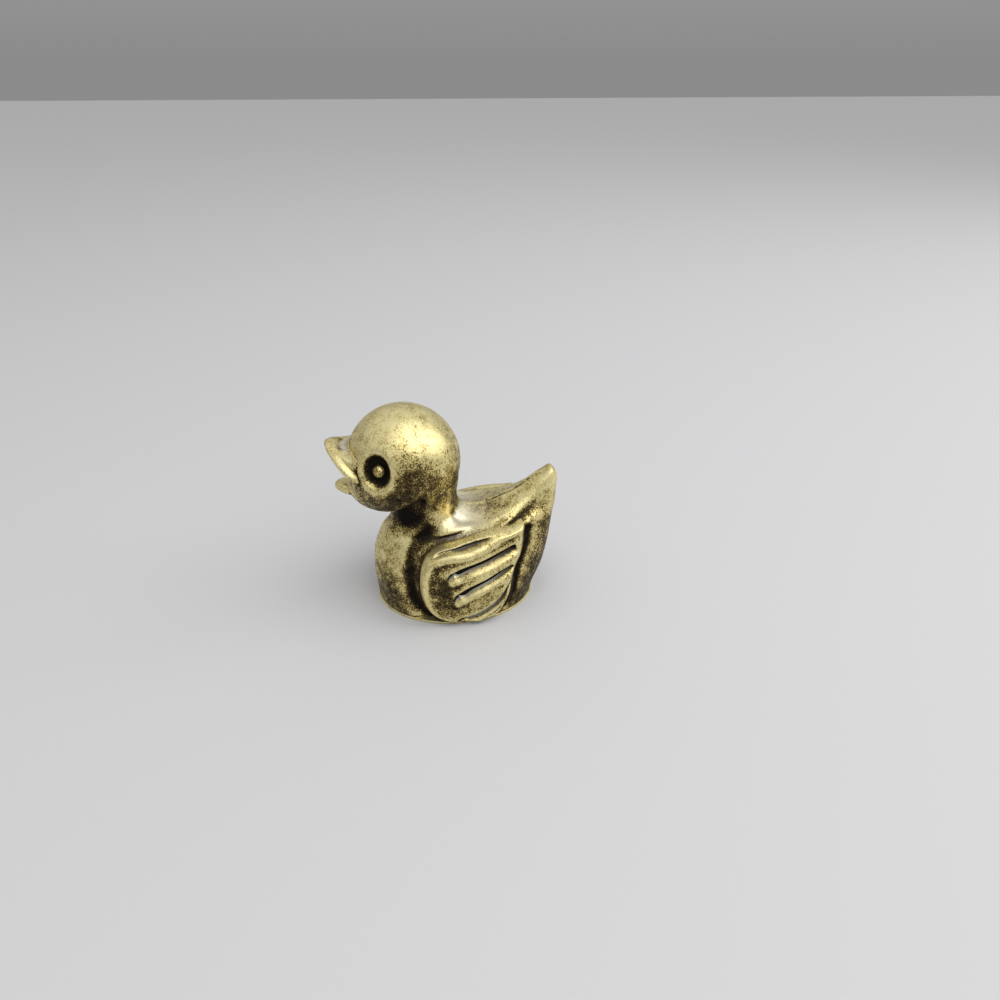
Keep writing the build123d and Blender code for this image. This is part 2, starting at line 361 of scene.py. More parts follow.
# Spots on both sides that shift the tone: place, reach and strength. Some are brown clouds of
# patina; others are painted shade in the creases under the head and in front of the wings, low on
# the breast and on the back's far slope; those below zero are painted highlights on lit slopes of
# the nape, the back and its ridge, on the upper bill and on the lit wall of the eye socket.
stains_shade_and_highlights = [
    ((7.3, -5.4, 22.8), 2.9, 0.27),
    ((6.9, -7.2, 19.4), 2.6, 0.2),
    ((4.8, -7.6, 16.8), 2.4, 0.14),
    # Painted shade with patina: the black pocket between the head and the shoulders
    ((3.2, -6.3, 14.4), 1.4, 0.9),
    ((5.2, -4.4, 12.8), 1.8, 0.25),
    ((9.0, -2.4, 5.4), 2.6, 0.1),
    ((6.6, -7.4, 5.0), 3.6, 0.18),
    ((4.0, 12.2, 12.0), 3.6, 0.16),
    ((5.4, 10.9, 5.6), 3.6, 0.08),
    ((4.7, 2.4, 13.5), 1.1, 0.25),
    ((0.6, 5.0, 14.4), 2.6, 0.24),
    ((1.8, -15.0, 24.4), 1.2, 0.5),
    ((2.2, -13.5, 24.2), 1.4, -0.5),
    ((4.0, -13.1, 22.6), 1.3, -0.25),
    ((3.4, -1.2, 14.6), 1.5, -0.2),
    ((3.6, 2.0, 14.2), 1.2, -0.2),
    # Painted highlight on the lit lower wall of the eye socket
    ((7.3, -8.8, 21.7), 0.7, -0.5),
    ((7.7, 0.4, 11.75), 0.8, 0.2),
    ((7.3, 2.6, 12.2), 0.8, 0.2),
    ((3.9, 10.6, 14.0), 1.2, 0.22),
    ((3.6, -1.4, 14.7), 1.7, -0.26),
    ((4.9, 4.6, 13.7), 0.9, -0.12),
    ((3.75, 6.9, 14.6), 1.1, -0.2),
    ((2.7, 9.8, 16.1), 1.5, -0.22),
    ((1.8, 12.4, 18.0), 1.5, -0.15),
]

# Finish: noises from grain to clouds, with their size, detail and how far they shift the tone
noises = [(0.2, 2, 1.1), (1.0, 3, 0.7), (4.5, 1, 0.4)]
grain_strength = 0.5
grain_height = 0.06
# Colours of the brass by tone, from dark finish to bare metal, and the whitish colour that the
# painted highlights mix towards
brass_colours = [
    (0.08, (0.006, 0.004, 0.002)),
    (0.34, (0.055, 0.036, 0.009)),
    (0.49, (0.24, 0.175, 0.052)),
    (0.61, (0.63, 0.52, 0.21)),
    (0.88, (0.87, 0.77, 0.40)),
]
painted_highlight_colour = (0.86, 0.83, 0.74, 1)
painted_highlight_share = 0.8
# Shine: the tones between which it changes, and its values on dark finish and on bare metal
shine_tones = (0.15, 0.58)
shine = [("Metallic", 0.0, 0.92), ("Roughness", 0.6, 0.4), ("Specular IOR Level", 0.08, 0.5)]

# Floor, sky by height, and lamps: name, place in metres, size and power
floor_reach = 1.5
floor_colour = (0.62, 0.62, 0.63, 1)
floor_roughness = 0.9
sky_greys = [(0.0, 0.26), (0.25, 0.4), (0.6, 0.66), (1.0, 0.72)]
lamps = [
    ("softbox", (0.17, 0.16, 0.40), 0.5, 1.15),
    ("window", (0.0, 0.42, 0.22), 0.3, 0.45),
]

# Camera at the photograph's place, in metres, turned to the duck's left side and looking down
camera_place = (0.09174, -0.00287, 0.0690)
camera_turn = radians(6)
camera_drop = radians(30.6)
camera_lens = 27.04
camera_sensor = 36
camera_nearest = 0.001

# Fineness of each sculpted surface and each oval, and of the lattice round the whole duck
body_step = 0.155
head_step = 0.14
wing_step = 0.1
bill_step = 0.08
oval_turns = 128
oval_rings = 64
duck_step = 0.2
duck_margin = 2
# Limits of the sums: lattice steps past a box, places worked out at once, rounds that settle points
# on their surface, and the least values that something is divided by or drawn out from
lattice_margin = 3
places_at_once = 4000
settling_rounds = 2
least_slope = 1e-6
least_level_slope = 0.3
least_steepness = 0.01
least_flat = 0.0001


def lattice(low, high, step):
    """Places of a regular lattice round a box, as three arrays that combine into it."""
    margin = lattice_margin * step
    lines = [np.arange(a - margin, b + margin, step) for a, b in zip(low, high)]
    return np.meshgrid(*lines, indexing="ij", sparse=True)


def soft_step(share):
    """Smooth rise from 0 to 1 while the share does the same."""
    share = np.clip(share, 0, 1)
    return share * share * (3 - 2 * share)


def fade(value, start, end):
    """Smooth rise from 0 to 1 while the value goes from start to end."""
    return soft_step((value - start) / (end - start))


def join(first, second, fillet):
    """Distance outside two shapes joined with a fillet."""
    overlap = np.maximum(fillet - np.abs(first - second), 0) / fillet
    return np.minimum(first, second) - overlap * overlap * fillet / 4


def common(first, second, fillet):
    """Distance outside what two shapes have in common, its edge rounded."""
    return -join(-first, -second, fillet)


def cut(shape, tool, fillet):
    """Distance outside a shape with a tool cut from it, the edge rounded."""
    return common(shape, -tool, fillet)


def bump(distance, reach):
    """Bell curve, 1 at no distance."""
    return np.exp(-((distance / reach) ** 2))


def ball(x, y, z, middle, radius):
    """Distance outside a ball."""
    return np.sqrt((x - middle[0]) ** 2 + (y - middle[1]) ** 2 + (z - middle[2]) ** 2) - radius


def oval_ball(x, y, z, middle, half_sizes):
    """Roughly the distance outside a ball that is stretched along the axes."""
    reach = sum(((place - m) / half) ** 2 for place, m, half in zip((x, y, z), middle, half_sizes))
    return (np.sqrt(reach) - 1) * min(half_sizes)


def smooth_values(knots, values, at):
    """Values on a smooth curve through the knots."""
    knots, values = np.asarray(knots, float), np.asarray(values, float)
    slopes = np.gradient(values, knots)
    left = np.clip(np.searchsorted(knots, at) - 1, 0, len(knots) - 2)
    span = knots[left + 1] - knots[left]
    t = np.clip((at - knots[left]) / span, 0, 1)
    start = (1 + 2 * t) * (1 - t) ** 2 * values[left] + t * (1 - t) ** 2 * span * slopes[left]
    end = t * t * (3 - 2 * t) * values[left + 1] - t * t * (1 - t) * span * slopes[left + 1]
    return start + end


def smooth_line(points, closed=False, pieces=12):
    """Points along a smooth line through a few points."""
    points = np.array(points, float)
    if closed:
        points = np.vstack([points, points[:1]])
    along = np.concatenate([[0], np.cumsum(np.linalg.norm(np.diff(points, axis=0), axis=1))])
    at = np.linspace(0, along[-1], pieces * len(points))
    if closed:
        turns = np.concatenate([along[:-1] - along[-1], along, along[1:] + along[-1]])
        laps = np.vstack([points[:-1], points, points[1:]])
        return np.stack([smooth_values(turns, laps[:, i], at) for i in range(2)], axis=1)
    return np.stack([smooth_values(along, points[:, i], at) for i in range(2)], axis=1)


def line_distance(points, a, b):
    """Distance from a line of points to each place, how far along the nearest point lies, and how
    far to the left of the line's nearest piece the place is."""
    a, b = np.broadcast_arrays(a, b)
    start, run = points[:-1], np.diff(points, axis=0)
    places = np.stack([a.ravel(), b.ravel()], axis=1)[:, None, :]
    found = []
    for place in np.array_split(places, 1 + a.size // places_at_once):
        away = place - start
        t = np.clip((away * run).sum(2) / (run * run).sum(1), 0, 1)
        gap = np.linalg.norm(away - t[..., None] * run, axis=2)
        nearest = gap.argmin(axis=1)
        rows = np.arange(len(nearest))
        share = (nearest + t[rows, nearest]) / len(start)
        cross = run[nearest, 0] * away[rows, nearest, 1] - run[nearest, 1] * away[rows, nearest, 0]
        found.append((gap[rows, nearest], share, cross / np.linalg.norm(run[nearest], axis=1)))
    return (np.concatenate(part).reshape(a.shape) for part in zip(*found))


def outline_distance(points, a, b):
    """Distance outside a closed outline, negative inside it."""
    gap, _, _ = line_distance(points, a, b)
    inside = np.zeros(gap.shape, bool)
    for (a0, b0), (a1, b1) in zip(points[:-1], points[1:]):
        if b0 != b1:
            crosses = (b0 > b) != (b1 > b)
            inside ^= crosses & (a < a0 + (b - b0) * (a1 - a0) / (b1 - b0))
    return np.where(inside, -gap, gap)


def level(field, step):
    """The same surface with the field made a true distance near it."""
    slope = np.sqrt(sum(part * part for part in np.gradient(field, step)))
    return field / np.maximum(slope, least_level_slope)


def side_view(y, z):
    """The lattice's places in the side view, as flat arrays."""
    return np.broadcast_arrays(y[0], z[0])


def wall_height(share, above_back):
    """Height of one oval of the side walls."""
    if above_back:
        return back_height + share * (tail_height - back_height)
    return foot_thickness + share * (back_height - foot_thickness)


def wall_ovals(z):
    """Middle, half length and half width of the walls' oval at each height."""
    rows = [(wall_height(row[0], False), *row[1:]) for row in flank_shares]
    rows += [(wall_height(row[0], True), *row[1:]) for row in tail_shares]
    heights, middles, lengths, widths = zip(*rows)
    middle = smooth_values(heights, middles, z) * foot_half_length
    length = smooth_values(heights, lengths, z) * foot_half_length
    width = smooth_values(heights, widths, z) * foot_half_width
    return middle, length, width


def flank(x, y, z, step):
    """Distance outside the side walls."""
    middle, length, width = wall_ovals(z)
    across, along = x / width, (y - middle) / length
    reach = np.sqrt(across ** 2 + along ** 2)
    steepness = np.sqrt((across / width) ** 2 + (along / length) ** 2)
    return level((reach - 1) * reach / np.maximum(steepness, least_steepness), step)


def back_points():
    """Line of the back and the tail's tip in the side view."""
    rise = tail_height - back_height
    return [(behind * foot_half_length, back_height + up * rise) for behind, up in back_line_shares]


def back_flute(y, z):
    """Depth of the flute that runs under the ridge of the back, in the side view."""
    below, _, _ = line_distance(smooth_line(back_points()[:-1]), y, z)
    depth = flute_depth * bump(below - flute_below, flute_reach)
    return depth * fade(y, *flute_front_fade) * fade(y, *flute_rear_fade)


def side_outline():
    """Closed outline of the body in the side view, without neck and head."""
    back = back_points()
    under = [(behind * foot_half_length, up * back_height) for behind, up in tail_under_shares]
    line = smooth_line(back + under)
    far = -outline_front_share * foot_half_length
    corners = [(line[-1][0], -back_height), (far, -back_height), (far, back[0][1]), back[0]]
    return np.vstack([line, corners])


def wing_points(shares):
    """Places in the wing's side view."""
    return [(a * wing_length - wing_forward, foot_thickness + b * wing_height) for a, b in shares]


wing_outline = smooth_line(wing_points(wing_outline_shares), closed=True)
wing_ridge = smooth_line(wing_points(wing_ridge_shares))
palm_y, palm_z = wing_points([palm_share])[0]


def wing_hollows(y, z):
    """Depth of the hollows that run round the wing, in the side view."""
    away = outline_distance(wing_outline, y, z)
    front = fade(y, *front_fade)
    rear = fade(y, *rear_fade) * (1 - fade(z, *above_tip_fade))
    above = (1 - front) * (1 - rear) * fade(y, *upper_rear_fade)
    depth = 0
    for share, (deep, middle, reach) in (
        (front, breast_hollow),
        (above, upper_hollow),
        (rear, rear_hollow),
    ):
        depth = depth + share * deep * bump(away - middle, reach)
    return depth


def crown(x, y, z):
    """How far the back stands above its ridges: a crest with a thin seam, and hollows beside it."""
    line = np.array(back_points()[:-1])
    back = smooth_values(line[:, 0], line[:, 1], y)
    middle, length, width = wall_ovals(back)
    half = width * np.sqrt(np.maximum(1 - ((y - middle) / length) ** 2, least_width_share))
    share = np.abs(x) / half
    shape = crest_rise * bump(share, crest_share) + seam_rise * bump(x, seam_half_width)
    hollow = hollow_depth * bump(share - hollow_share, hollow_width_share)
    shape = shape - hollow * soft_step((foot_half_length - y) / foot_half_length)
    return shape * fade(z - back, *crown_fade) * fade(line[-1][0] - y, *crown_tail_fade)


def below_cheek(y, z):
    """Distance outside the undercut below the cheeks."""
    behind, above = y - head_middle[1], z - head_middle[2]
    under = behind * cos(cheek_slope) - above * sin(cheek_slope) - cheek_distance
    return common(-under, behind - cheek_reach, 2 * cheek_softness)


def body(x, y, z, step):
    """Breast, flanks, back, tail and neck."""
    side_y, side_z = side_view(y, z)
    walls = flank(x, y, z, step)
    hollows = np.maximum(wing_hollows(side_y, side_z), back_flute(side_y, side_z))
    walls = walls + hollows[None] * fade(np.abs(x), *hollow_side_fade)
    profile = outline_distance(side_outline(), side_y, side_z)[None] - crown(x, y, z)
    tailward = soft_step(y / foot_half_length)
    shape = common(walls, profile, ridge_softness + (tail_ridge_softness - ridge_softness) * tailward)
    backward = soft_step((y + neck_forward) / neck_half_length)
    reach = np.sqrt((x / neck_half_width) ** 2 + ((y + neck_forward) / neck_half_length) ** 2)
    neck = (reach - 1) * neck_half_width
    fillet = neck_fillet_front + (neck_fillet_back - neck_fillet_front) * backward
    shape = join(shape, neck + 0 * z, fillet)
    shape = join(shape, oval_ball(x, y, z, nape_middle, nape_half_sizes), nape_join)
    core = ball(x, y, z, head_middle, head_radius - core_inset)
    core = cut(core, below_cheek(y, z), cheek_softness)
    core = np.maximum(core, neck - core_past_neck)
    nape = backward * soft_step((neck_top - z) / nape_fade_height)
    shape = join(shape, core, throat_fillet + (nape_fillet - throat_fillet) * nape)
    shape = np.maximum(shape, z - neck_top)
    return np.maximum(shape, foot_thickness - z)


def eye_axes(side):
    """Directions across, up and out of one eye."""
    level_share = cos(eye_elevation)
    sideways, ahead = side * level_share * sin(eye_azimuth), level_share * cos(eye_azimuth)
    out = np.array([sideways, -ahead, sin(eye_elevation)])
    across = np.cross([0, 0, 1], out)
    across /= np.linalg.norm(across)
    return across, np.cross(out, across), out


def in_axes(x, y, z, origin, axes):
    """Places along three axes from an origin."""
    parts = [part - start for part, start in zip((x, y, z), origin)]
    return [sum(part * axis[i] for i, part in enumerate(parts)) for axis in axes]


def bill_axes(rise):
    """Directions across, forward and up of one half of the bill."""
    return np.array([[1, 0, 0], [0, -cos(rise), sin(rise)], [0, sin(rise), cos(rise)]])


upper_seat_ahead = sqrt(head_radius ** 2 - upper_bill_above_centre ** 2) - upper_bill_seat_depth
upper_seat = head_middle + np.array([0, -upper_seat_ahead, upper_bill_above_centre])
lower_seat_ahead = sqrt(jaw_radius ** 2 - lower_bill_below_jaw ** 2)
lower_seat = jaw_middle - np.array([0, lower_seat_ahead, lower_bill_below_jaw])


def head(x, y, z, step):
    """Head ball and jaw with eye sockets and mouth."""
    skull = ball(x, y, z, head_middle, head_radius)
    shape = join(skull, ball(x, y, z, jaw_middle, jaw_radius), jaw_fillet)
    shape = common(shape, head_middle[2] - head_radius + chin_height - z, chin_softness)
    shape = cut(shape, below_cheek(y, z), cheek_softness)
    for side in (1, -1):
        across, up, out = in_axes(x, y, z, head_middle, eye_axes(side))
        round_way = np.sqrt(across ** 2 + (up / socket_tallness) ** 2)
        rim = socket_rim_rise * bump(round_way - socket_rim_radius, socket_rim_width)
        shape = shape - rim * (out > 0)
        spread = (socket_radius - socket_floor_radius) / socket_depth
        wall = round_way - socket_floor_radius - spread * (out - socket_floor_distance)
        hollow = common(wall, socket_floor_distance - out, socket_softness)
        shape = cut(shape, hollow, socket_softness)
    mouth_low = lower_seat[2] + lower_bill_half_thickness
    mouth_high = upper_seat[2] - upper_bill_under
    middle, half = (mouth_low + mouth_high) / 2, (mouth_high - mouth_low) / 2
    reach = np.sqrt((x / mouth_half_width) ** 2 + ((y - upper_seat[1]) / mouth_depth) ** 2)
    deep = (reach - 1) * mouth_depth
    mouth = common(deep + 0 * z, np.abs(z - middle) - half, mouth_softness)
    return cut(shape, mouth, mouth_softness)


def oval(middle, axes, half_sizes, bluntness):
    """Distance outside a round or oval form with blunt edges, such as a dome or a plate."""
    def shape(x, y, z, step):
        across, along, up = in_axes(x, y, z, middle, axes)
        flat = np.sqrt((across / half_sizes[0]) ** 2 + (along / half_sizes[1]) ** 2)
        reach = (flat ** bluntness + np.abs(up / half_sizes[2]) ** bluntness) ** (1 / bluntness)
        return (reach - 1) * min(half_sizes)
    return shape


def upper_bill(x, y, z, step):
    """Dished visor with a thick rim, its root inside the head."""
    across, along, up = in_axes(x, y, z, upper_seat, bill_axes(upper_bill_rise))
    edge = [(a * upper_bill_half_width, b * upper_bill_length) for a, b in bill_edge_shares]
    half = smooth_line(edge + [(-a, b) for a, b in edge[-2::-1]])
    outline = np.vstack([half, half[:1]])
    lines = [np.arange(part.min(), part.max() + step, step) for part in (across, along)]
    flat = outline_distance(outline, *np.meshgrid(*lines, indexing="ij"))
    rim = sample(flat, [(across - lines[0][0]) / step, (along - lines[1][0]) / step])
    dish = upper_bill_dish * soft_step((-rim - upper_bill_rim) / upper_bill_rim)
    nostril = np.sqrt((np.abs(across) - nostril_across) ** 2 + (along - nostril_along) ** 2)
    dish = dish + nostril_depth * bump(nostril, nostril_radius)
    slab = np.maximum(up - upper_bill_top + dish, -up - upper_bill_under)
    visor = common(rim, slab, upper_bill_softness)
    filleted = join(visor, ball(x, y, z, head_middle, head_radius), upper_bill_fillet)
    filleted = np.maximum(filleted, visor - upper_bill_root)
    filleted = np.maximum(filleted, rim + upper_bill_root_inset)
    return np.minimum(visor, np.maximum(filleted, -up))


def lower_bill(x, y, z, step):
    """Round tongue, its root inside the jaw."""
    across, along, up = in_axes(x, y, z, lower_seat, bill_axes(lower_bill_rise))
    half_length = lower_bill_length + lower_bill_root_depth
    along = (along + lower_bill_root_depth) / half_length
    across = across / lower_bill_half_width
    up = up + lower_bill_dish * bump(across, lower_bill_dish_share) * (up > 0)
    flat = np.sqrt(across ** 2 + along ** 2)
    tall = np.abs(up / lower_bill_half_thickness)
    reach = (flat ** lower_bill_bluntness + tall ** lower_bill_bluntness) ** (1 / lower_bill_bluntness)
    return level((reach - 1) * lower_bill_half_thickness, step)


def wing_thickness(y, z):
    """How far the wing stands out of the flank, in the side view."""
    inset = -outline_distance(wing_outline, y, z)
    gap, along, side = line_distance(wing_ridge, y, z)
    thick = wing_edge_thickness
    thick = thick + (wing_plate_thickness - wing_edge_thickness) * soft_step(inset / wing_edge_width)
    thick = thick + wing_ridge_rise * bump(gap, wing_ridge_reach) * fade(along, *wing_ridge_fade)
    lip = wing_lip_rise * bump(inset - wing_lip_inset, wing_lip_reach)
    channel = wing_channel_depth * bump(inset - wing_channel_inset, wing_channel_reach)
    outside = fade(gap, *beside_ridge_fade) * (side > 0) * fade(along, *wing_lip_fade)
    thick = thick + (lip - channel) * outside
    palm = np.sqrt((y - palm_y) ** 2 + ((z - palm_z) / palm_tallness) ** 2)
    thick = thick - palm_depth * bump(palm, palm_reach)
    for depth, reach_above, reach_below, shares in feather_grooves:
        gap, along, side = line_distance(smooth_line(wing_points(shares)), y, z)
        narrowing = 1 - groove_narrowing * fade(along, *groove_narrowing_fade)
        below = soft_step(0.5 - side / feather_edge_width)
        reach = reach_above + (reach_below * narrowing - reach_above) * below
        taper = groove_start_share + (1 - groove_start_share) * fade(along, *groove_start_fade)
        taper = taper * fade(along, *groove_end_fade)
        groove = (1 - groove_wide_share) * bump(gap, reach)
        groove = groove + groove_wide_share * bump(gap, (1 + groove_widening * below) * reach)
        thick = thick - depth * taper * groove
        feather = [(a, b - feather_drop_share) for a, b in shares]
        gap, along, _ = line_distance(smooth_line(wing_points(feather)), y, z)
        rise = feather_rise * bump(gap, feather_reach) * (1 - feather_lowering * soft_step(along))
        thick = thick + rise * soft_step(depth / feather_full_depth)
    return thick


def wing(side):
    """Leaf on one flank, with grooves between its feathers."""
    def shape(x, y, z, step):
        side_y, side_z = side_view(y, z)
        walls = flank(x, y, z, step)
        thick = wing_thickness(side_y, side_z)[None]
        outline = outline_distance(wing_outline, side_y, side_z)[None]
        leaf = common(walls - thick, outline, wing_softness)
        leaf = np.maximum(leaf, -walls - wing_root)
        return np.maximum(leaf, wing_from_middle - side * x)
    return shape


def sample(grid, places):
    """Values of a grid between its points, at places given in grid steps."""
    total = 0
    low, part = [], []
    for line, size in zip(places, grid.shape):
        start = np.clip(np.floor(line).astype(int), 0, size - 2)
        low.append(start)
        part.append(np.clip(line - start, 0, 1))
    for corner in np.ndindex(*([2] * len(places))):
        weight = 1
        for up, share in zip(corner, part):
            weight = weight * (share if up else 1 - share)
        total = total + weight * grid[tuple(start + up for start, up in zip(low, corner))]
    return total


def steepest(grid, places):
    """Direction in which a grid's values rise, at places given in grid steps."""
    parts = []
    for axis in range(3):
        before, after = (
            [line + (reach if i == axis else 0) for i, line in enumerate(places)]
            for reach in (-0.5, 0.5)
        )
        parts.append(sample(grid, after) - sample(grid, before))
    return np.stack(parts, axis=1)


def skin(field):
    """Points and quads of the surface where a field is zero, in grid steps: one point in each
    cell that the surface crosses, set on the surface."""
    cells = tuple(size - 1 for size in field.shape)
    rings, crossings = [], []
    for axis in range(3):
        near, far = [slice(None)] * 3, [slice(None)] * 3
        near[axis], far[axis] = slice(None, -1), slice(1, None)
        low, high = field[tuple(near)], field[tuple(far)]
        edge = np.argwhere((low < 0) != (high < 0))
        first, second = low[tuple(edge.T)], high[tuple(edge.T)]
        place = edge.astype(float)
        place[:, axis] += first / (first - second)
        ring = []
        for back_u, back_v in ((0, 0), (1, 0), (1, 1), (0, 1)):
            cell = edge.copy()
            cell[:, (axis + 1) % 3] -= back_u
            cell[:, (axis + 2) % 3] -= back_v
            ring.append(np.ravel_multi_index(tuple(cell.T), cells))
        ring = np.stack(ring, axis=1)
        ring[first >= 0] = ring[first >= 0, ::-1]
        rings.append(ring)
        crossings.append(np.repeat(place, 4, axis=0))
    rings = np.vstack(rings)
    _, quads = np.unique(rings.ravel(), return_inverse=True)
    quads = quads.reshape(-1)
    crossings = np.vstack(crossings)
    count = np.bincount(quads)
    points = np.stack([np.bincount(quads, crossings[:, i]) / count for i in range(3)], axis=1)
    for _ in range(settling_rounds):
        slope = steepest(field, points.T)
        shift = sample(field, points.T) / np.maximum((slope ** 2).sum(1), least_slope)
        points = points - np.clip(shift, -0.5, 0.5)[:, None] * slope
    return points, quads.reshape(-1, 4), steepest(field, points.T)


def sculpt(shape, low, high, step):
    """Points in millimetres, quads and outward directions of one sculpted piece."""
    x, y, z = lattice(low, high, step)
    points, quads, slope = skin(shape(x, y, z, step))
    corner = np.array([x.flat[0], y.flat[0], z.flat[0]])
    return corner + points * step, quads, slope / np.linalg.norm(slope, axis=1, keepdims=True)


# Each piece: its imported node, its shape, the fineness of its surface, and the room that it may
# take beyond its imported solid
shapes = {
    "body": (body, body_step, 1.6),
    "head": (head, head_step, 0.8),
    "upper_bill": (upper_bill, bill_step, 3.0),
    "lower_bill": (lower_bill, bill_step, 4.2),
    "wing_left": (wing(1), wing_step, 1.6),
    "wing_right": (wing(-1), wing_step, 1.6),
}
# Pieces that one tree of Geometry Nodes makes: middle, axes, half sizes along them, bluntness
foot_half_sizes = (foot_half_width + foot_lip, foot_half_length + foot_lip, foot_thickness / 2)
ovals = {"foot_plate": ((0, 0, foot_thickness / 2), np.eye(3), foot_half_sizes, foot_bluntness)}
for side, name in ((1, "eye_left"), (-1, "eye_right")):
    middle = head_middle + socket_floor_distance * eye_axes(side)[2]
    ovals[name] = (middle, eye_axes(side), (eye_radius, eye_radius, eye_height), eye_bluntness)


def build_mesh(name, points, quads):
    """Smooth-shaded object from points in millimetres."""
    mesh = bpy.data.meshes.new(name)
    mesh.from_pydata((points * MM).tolist(), [], quads.tolist())
    mesh.shade_smooth()
    piece = bpy.data.objects.new(name, mesh)
    bpy.context.scene.collection.objects.link(piece)
    return piece


pieces = {}
skins = {}
for name, (shape, step, room) in shapes.items():
    low, high = node_box(name)
    points, quads, outward = sculpt(shape, low - room, high + room, step)
    pieces[name] = build_mesh("brass_" + name, points, quads)
    skins[name] = (points, outward)


def whole_duck():
    """Lattice round the whole duck, with how much of each place is metal."""
    low, high = np.array(cad_box[0]) / MM, np.array(cad_box[1]) / MM
    x, y, z = lattice(low - duck_margin, high + duck_margin, duck_step)
    forms = [shape for shape, _, _ in shapes.values()] + [oval(*form) for form in ovals.values()]
    distance = np.minimum.reduce([form(x, y, z, duck_step) for form in forms])
    return x, y, z, np.clip(0.5 - distance / duck_step, 0, 1)


def blurred(grid, reach):
    """The grid with each value spread over its neighbourhood; reach is in grid steps."""
    spectrum = np.fft.rfftn(grid)
    for axis, size in enumerate(grid.shape):
        waves = np.fft.rfftfreq(size) if axis == 2 else np.fft.fftfreq(size)
        spread = np.exp(-2 * (pi * reach * waves) ** 2)
        spectrum *= spread.reshape([-1 if i == axis else 1 for i in range(3)])
    return np.fft.irfftn(spectrum, grid.shape)


def painted_highlight_amount(name, places, outward, hollow):
    """How strongly each point of a piece gets a painted highlight."""
    for kind, (middle, reach, even) in painted_highlight_places.items():
        if name.startswith(kind):
            strength = even or np.minimum(hollow, 1)
            away = np.linalg.norm(places - middle, axis=1)
            return strength * fade(outward[:, 2], *pale_up_fade) * bump(away, reach)
    return np.zeros(len(places))


def set_worn_tone_and_painted_light():
    """Give each point its tone and its painted highlight. The tone is dark where the finish is left
    and bright where it is worn away, as a hollow has more metal close by than a ridge and rubbing
    doesn't reach it; painted light and shade and the painted highlights are added to it."""
    x, y, z, metal = whole_duck()
    corner = np.array([x.flat[0], y.flat[0], z.flat[0]])
    near_metal = blurred(metal, near_reach / duck_step)
    round_metal = blurred(metal, round_reach / duck_step)
    for name, (points, outward) in skins.items():
        places = ((points - corner) / duck_step).T
        near = sample(near_metal, places) - flat_share
        around = sample(round_metal, places) - flat_share
        worn_tone_and_painted_light = rub_level - near_weight * near - round_weight * around
        # Painted light and shade: lighter on faces turned up, darker low down
        lowness = soft_step(1 - points[:, 2] / low_height)
        worn_tone_and_painted_light = worn_tone_and_painted_light + painted_light_on_top_weight * outward[:, 2] - painted_shade_low_down_weight * lowness
        hollow = soft_step(near / pale_near) + soft_step(around / pale_round)
        folded = np.column_stack([np.abs(points[:, 0]), points[:, 1:]])
        painted_highlight = painted_highlight_amount(name, folded, outward, hollow)
        # Painted highlights lighten the tone
        worn_tone_and_painted_light = worn_tone_and_painted_light + painted_highlight_gain * painted_highlight
        # Brown patina clouds and painted shade darken the tone; spots below zero are painted
        # highlights
        for place, reach, strength in stains_shade_and_highlights:
            away = np.linalg.norm(folded - place, axis=1)
            worn_tone_and_painted_light = worn_tone_and_painted_light - strength * bump(away, reach)
        worn_tone_and_painted_light = np.minimum(worn_tone_and_painted_light, eye_rub_limit if name.startswith("eye") else rub_limit)
        for layer_name, values in (("worn_tone_and_painted_light", worn_tone_and_painted_light), ("painted_highlight", painted_highlight)):
            layer = pieces[name].data.attributes.new(layer_name, "FLOAT", "POINT")
            layer.data.foreach_set("value", values.astype(np.float32))


def add_node(tree, kind, inputs=(), **settings):
    """One node of a tree, with its settings, values and links."""
    family = "ShaderNode" if hasattr(bpy.types, "ShaderNode" + kind) else "GeometryNode"
    node = tree.nodes.new(family + kind)
    for name, value in settings.items():
        setattr(node, name, value)
    for socket, value in dict(inputs).items():
        if isinstance(value, bpy.types.NodeSocket):
            tree.links.new(value, node.inputs[socket])
        else:
            node.inputs[socket].default_value = value
    return node


def maths(tree, operation, first, second=0.0):
    """Result of one sum on one or two values or sockets."""
    return add_node(tree, "Math", {0: first, 1: second}, operation=operation).outputs[0]


def ramp(tree, factor, stops):
    """Colours or greys along a factor."""
    node = add_node(tree, "ValToRGB", {"Fac": factor})
    line = node.color_ramp.elements
    while len(line) < len(stops):
        line.new(0.5)
    for element, (place, colour) in zip(line, stops):
        element.position = place
        element.color = (*colour, 1) if isinstance(colour, tuple) else (colour,) * 3 + (1,)
    return node.outputs["Color"]


